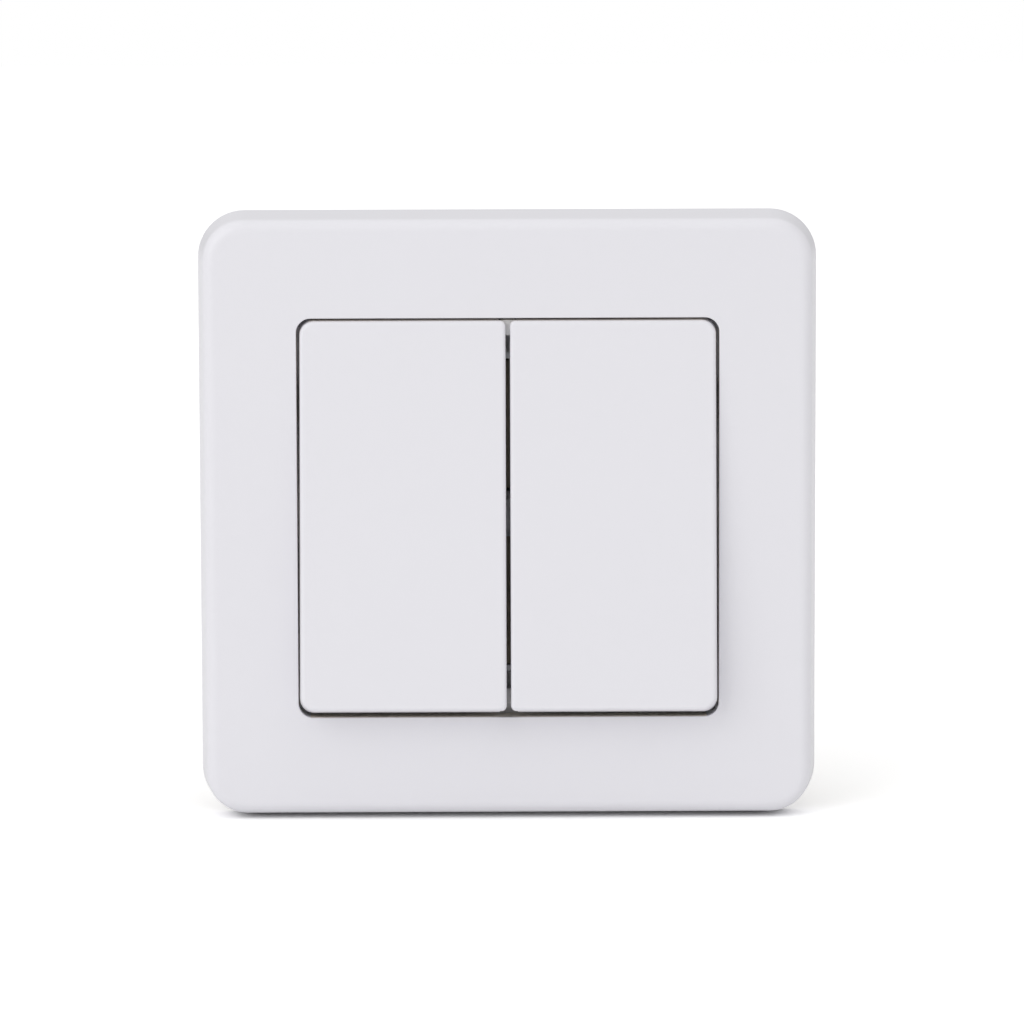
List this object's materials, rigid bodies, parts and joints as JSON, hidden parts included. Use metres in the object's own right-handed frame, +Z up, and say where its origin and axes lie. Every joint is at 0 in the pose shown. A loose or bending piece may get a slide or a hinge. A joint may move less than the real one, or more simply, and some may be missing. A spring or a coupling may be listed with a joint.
{
  "type": "two-gang light switch",
  "caption": "Flush-mounted light switch with two side-by-side rockers in a square cover frame, on a steel ring with a contact base for a round wall box.",
  "frame": {"origin": "centre of the switch on the wall plane, between the round fixing holes on the back of the support ring", "axes": "+X to the right as seen from the room, +Y into the wall, +Z up"},
  "size_m": [0.0816, 0.0332, 0.0804],
  "materials": {
    "white_cover": "white moulded plastic with a soft satin gloss",
    "white_insert": "white moulded plastic, matt",
    "brown_base": "light brown heat-proof moulding compound, matt",
    "plunger_plastic": "natural slippery plastic",
    "zinc_steel": "zinc plated sheet steel",
    "nickel_rivet": "nickel plated",
    "screw_steel": "yellow passivated zinc plating",
    "spring_steel": "drawn spring wire",
    "brass_strip": "stamped brass strip",
    "brass_clamp": "machined brass",
    "copper_plate": "stamped copper alloy",
    "silver_contact": "silver alloy contact rivet"
  },
  "bodies": {
    "housing": {"cover_frame": "white_cover", "support_ring": "zinc_steel", "bearing_frame": "white_insert", "contact_base": "brown_base", "housing_rivets": "nickel_rivet", "common_bar": "brass_strip", "terminal_screws": "screw_steel", "common_clamp": "brass_clamp", "left_fixed_contact": "silver_contact", "left_output_strip": "brass_strip", "left_clamp": "brass_clamp", "right_fixed_contact": "silver_contact", "right_output_strip": "brass_strip", "right_clamp": "brass_clamp"},
    "left_lever": {"left_rocker": "white_cover", "left_actuator": "white_insert", "left_spring": "spring_steel"},
    "left_pusher": {"left_plunger": "plunger_plastic"},
    "left_switch_plate": {"left_seesaw": "copper_plate", "left_moving_contact": "silver_contact"},
    "right_lever": {"right_rocker": "white_cover", "right_actuator": "white_insert", "right_spring": "spring_steel"},
    "right_pusher": {"right_plunger": "plunger_plastic"},
    "right_switch_plate": {"right_seesaw": "copper_plate", "right_moving_contact": "silver_contact"}
  },
  "joints": [
    {"name": "left_rocker_tilt", "type": "hinge", "parent": "housing", "child": "left_lever", "pos_m": [0, -0.0016, 0], "axis": [1, 0, 0], "range_deg": [0, 9]},
    {"name": "left_plunger_slide", "type": "slide", "parent": "left_lever", "child": "left_pusher", "axis": [0, -0.9969, 0.0785], "range_m": [0, 0.0005], "stiffness_N_per_m": 1000, "springref_m": -0.003},
    {"name": "left_seesaw_tilt", "type": "hinge", "parent": "housing", "child": "left_switch_plate", "pos_m": [0, 0.0101, 0], "axis": [1, 0, 0], "range_deg": [-9, 0]},
    {"name": "right_rocker_tilt", "type": "hinge", "parent": "housing", "child": "right_lever", "pos_m": [0, -0.0016, 0], "axis": [1, 0, 0], "range_deg": [0, 9]},
    {"name": "right_plunger_slide", "type": "slide", "parent": "right_lever", "child": "right_pusher", "axis": [0, -0.9969, 0.0785], "range_m": [0, 0.0005], "stiffness_N_per_m": 1000, "springref_m": -0.003},
    {"name": "right_seesaw_tilt", "type": "hinge", "parent": "housing", "child": "right_switch_plate", "pos_m": [0, 0.0101, 0], "axis": [1, 0, 0], "range_deg": [-9, 0]}
  ],
  "couplings": [
    {"joint": "left_seesaw_tilt", "follows": "left_rocker_tilt", "ratio": -1},
    {"joint": "right_seesaw_tilt", "follows": "right_rocker_tilt", "ratio": -1}
  ]
}
